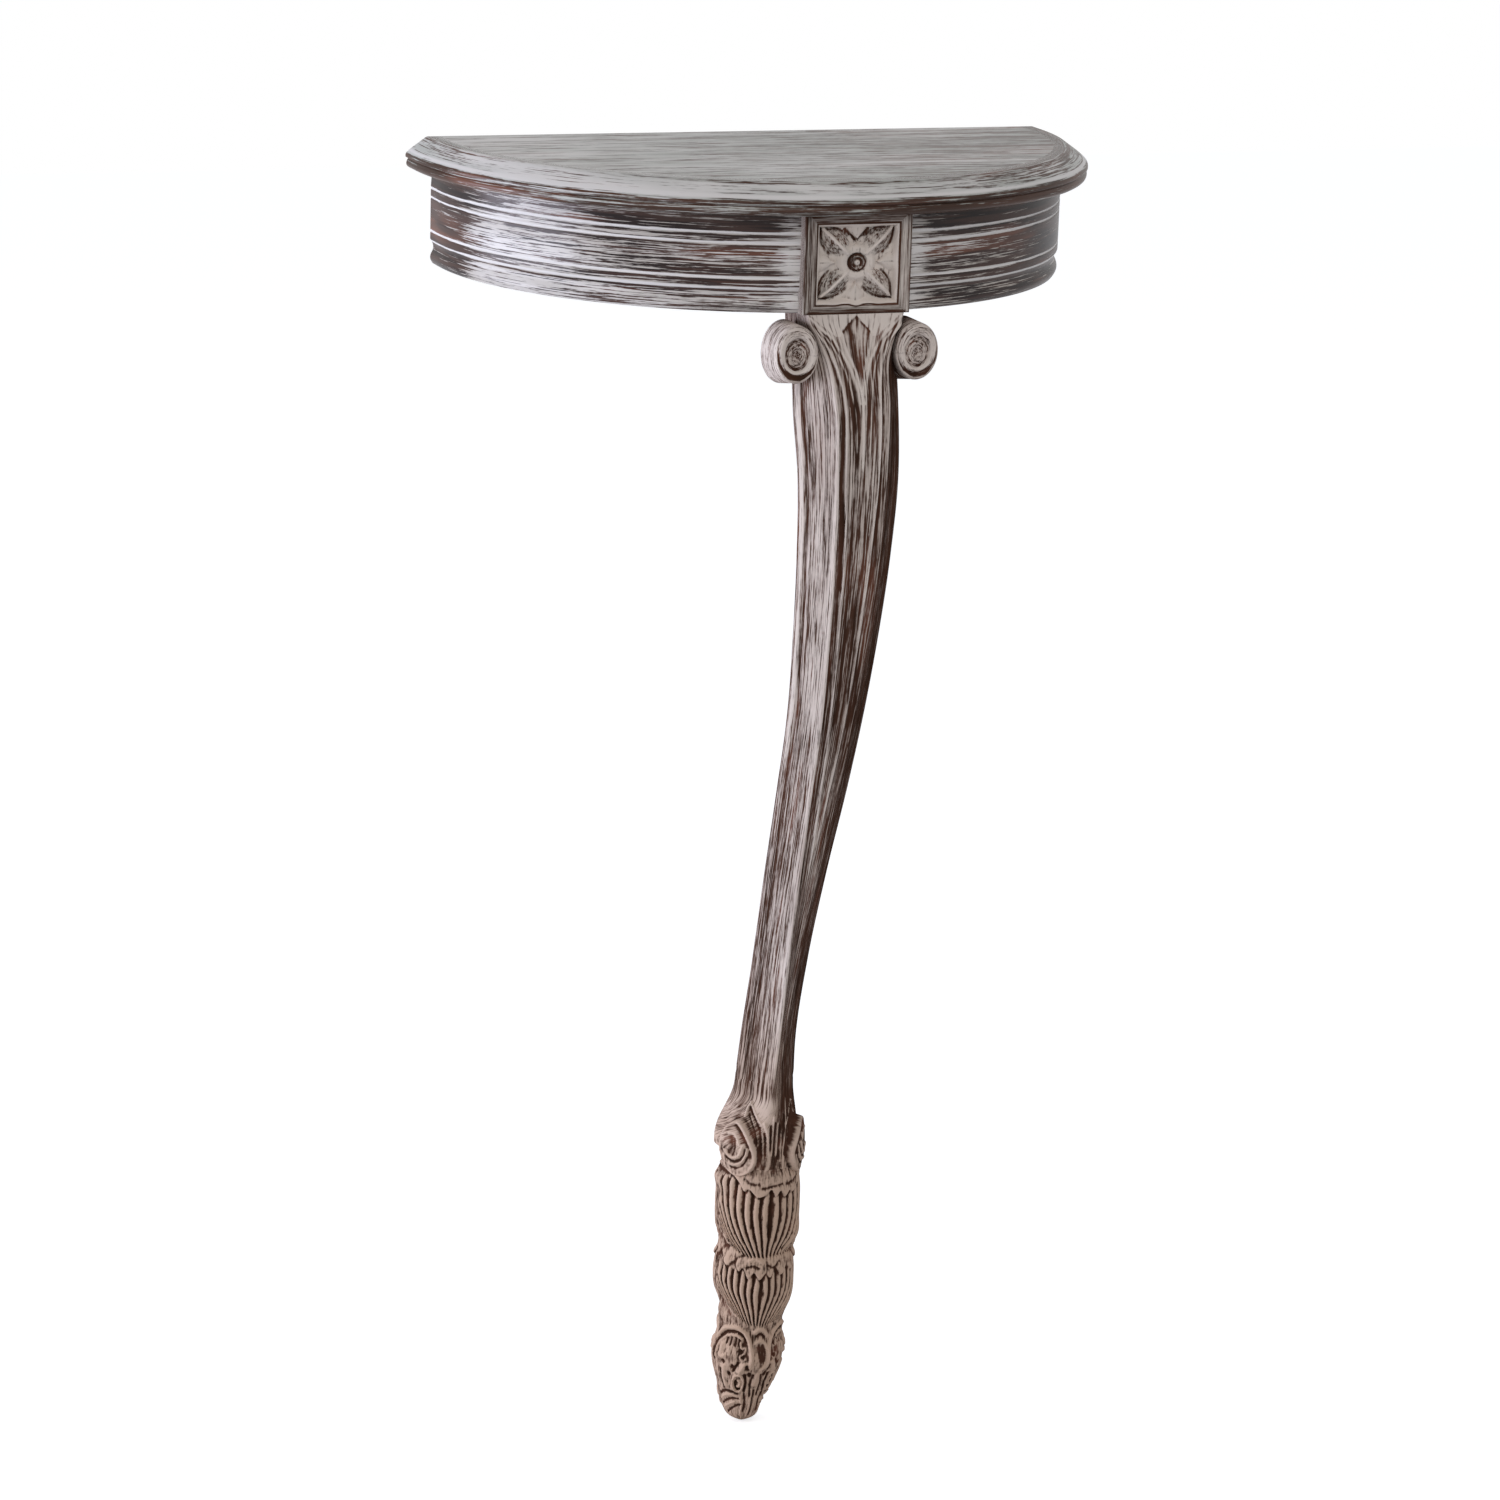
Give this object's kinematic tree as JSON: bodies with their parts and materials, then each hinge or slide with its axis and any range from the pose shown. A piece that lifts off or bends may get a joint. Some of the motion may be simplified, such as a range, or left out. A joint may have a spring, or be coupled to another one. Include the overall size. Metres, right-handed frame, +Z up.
{
  "type": "pier table",
  "caption": "Half-round wall table with a moulded top and bent apron on one carved cabriole leg, limed dark wood.",
  "frame": {"origin": "middle of the back rail's wall face, at half the apron's height", "axes": "+Z up, +Y into the wall (the wall is the plane Y = 0), the front faces -Y, +X to the viewer's right"},
  "size_m": [0.47, 0.2593, 0.9101],
  "materials": {
    "limed_mahogany": "satin, limed grain",
    "plain_timber": "sawn and planed, unfinished",
    "beech_dowel": "turned, unfinished",
    "steel_screw": "bright zinc"
  },
  "bodies": {
    "root": {"table_top": "limed_mahogany", "apron_left": "limed_mahogany", "apron_right": "limed_mahogany", "rosette_block": "limed_mahogany", "leg": "limed_mahogany", "scroll_left": "limed_mahogany", "scroll_right": "limed_mahogany", "foot": "limed_mahogany", "back_rail": "plain_timber", "spine_rail": "plain_timber", "corner_block_left": "plain_timber", "corner_block_right": "plain_timber", "front_glue_block_left": "plain_timber", "front_glue_block_right": "plain_timber", "apron_front_dowels": "beech_dowel", "apron_back_dowels": "beech_dowel", "spine_dowels": "beech_dowel", "leg_dowels": "beech_dowel", "foot_dowel": "beech_dowel", "top_screws": "steel_screw", "leg_coach_screw": "steel_screw", "leg_washer": "steel_screw"}
  },
  "joints": []
}
